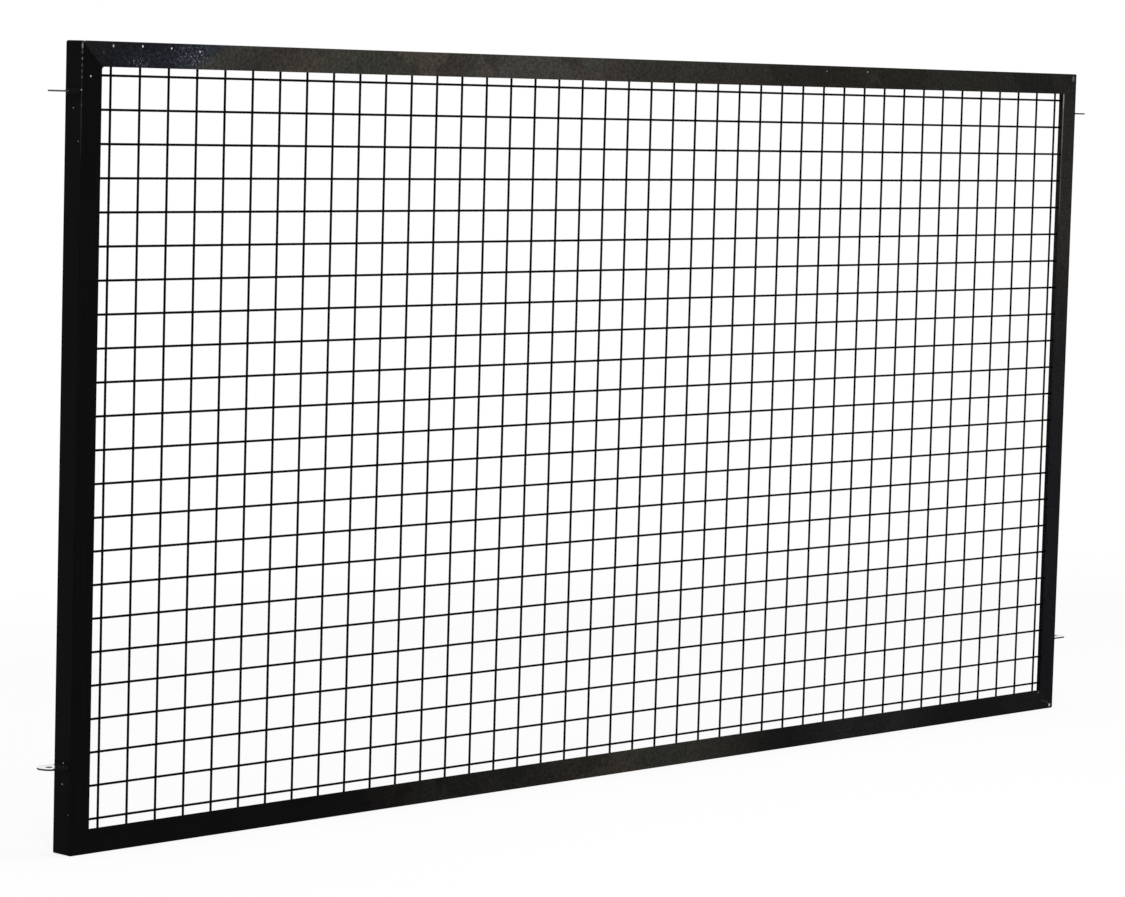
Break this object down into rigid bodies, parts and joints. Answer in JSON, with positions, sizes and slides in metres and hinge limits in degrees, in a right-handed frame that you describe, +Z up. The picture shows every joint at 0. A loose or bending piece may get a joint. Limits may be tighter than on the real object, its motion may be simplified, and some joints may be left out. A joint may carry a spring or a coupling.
{
  "type": "wire mesh partition panel",
  "caption": "Wide black welded wire mesh partition panel in a mitred angle-iron frame, with drilled round-ended bolt lugs on both sides.",
  "frame": {"origin": "centre of the panel's bottom edge, midway through the depth of the frame", "axes": "+X along the width to the right seen from the front, +Z up, the front face with the flat flanges looks along -Y"},
  "size_m": [2.5256, 0.0382, 1.2192],
  "materials": {
    "frame_paint": "satin black enamel on hot-rolled angle, worn to warm grey in places",
    "wire_paint": "satin black enamel on drawn wire",
    "weld_paint": "satin black enamel over weld beads",
    "lug_zinc": "bright zinc plate"
  },
  "bodies": {
    "root": {"top_rail": "frame_paint", "bottom_rail": "frame_paint", "left_stile": "frame_paint", "right_stile": "frame_paint", "upper_left_lug": "lug_zinc", "upper_right_lug": "lug_zinc", "lower_left_lug": "lug_zinc", "lower_right_lug": "lug_zinc", "level_wire_01": "wire_paint", "level_wire_02": "wire_paint", "level_wire_03": "wire_paint", "level_wire_04": "wire_paint", "level_wire_05": "wire_paint", "level_wire_06": "wire_paint", "level_wire_07": "wire_paint", "level_wire_08": "wire_paint", "level_wire_09": "wire_paint", "level_wire_10": "wire_paint", "level_wire_11": "wire_paint", "level_wire_12": "wire_paint", "level_wire_13": "wire_paint", "level_wire_14": "wire_paint", "level_wire_15": "wire_paint", "level_wire_16": "wire_paint", "level_wire_17": "wire_paint", "level_wire_18": "wire_paint", "level_wire_19": "wire_paint", "level_wire_20": "wire_paint", "level_wire_21": "wire_paint", "level_wire_22": "wire_paint", "level_wire_23": "wire_paint", "upright_wire_pair_01": "wire_paint", "upright_wire_pair_02": "wire_paint", "upright_wire_pair_03": "wire_paint", "upright_wire_pair_04": "wire_paint", "upright_wire_pair_05": "wire_paint", "upright_wire_pair_06": "wire_paint", "upright_wire_pair_07": "wire_paint", "upright_wire_pair_08": "wire_paint", "upright_wire_pair_09": "wire_paint", "upright_wire_pair_10": "wire_paint", "upright_wire_pair_11": "wire_paint", "upright_wire_pair_12": "wire_paint", "upright_wire_pair_13": "wire_paint", "upright_wire_pair_14": "wire_paint", "upright_wire_pair_15": "wire_paint", "upright_wire_pair_16": "wire_paint", "upright_wire_pair_17": "wire_paint", "upright_wire_pair_18": "wire_paint", "upright_wire_pair_19": "wire_paint", "upright_wire_pair_20": "wire_paint", "upright_wire_pair_21": "wire_paint", "top_left_corner_weld": "weld_paint", "top_right_corner_weld": "weld_paint", "bottom_left_corner_weld": "weld_paint", "bottom_right_corner_weld": "weld_paint", "upright_wire_welds": "weld_paint", "level_wire_welds": "weld_paint", "lug_welds": "weld_paint"}
  },
  "joints": []
}
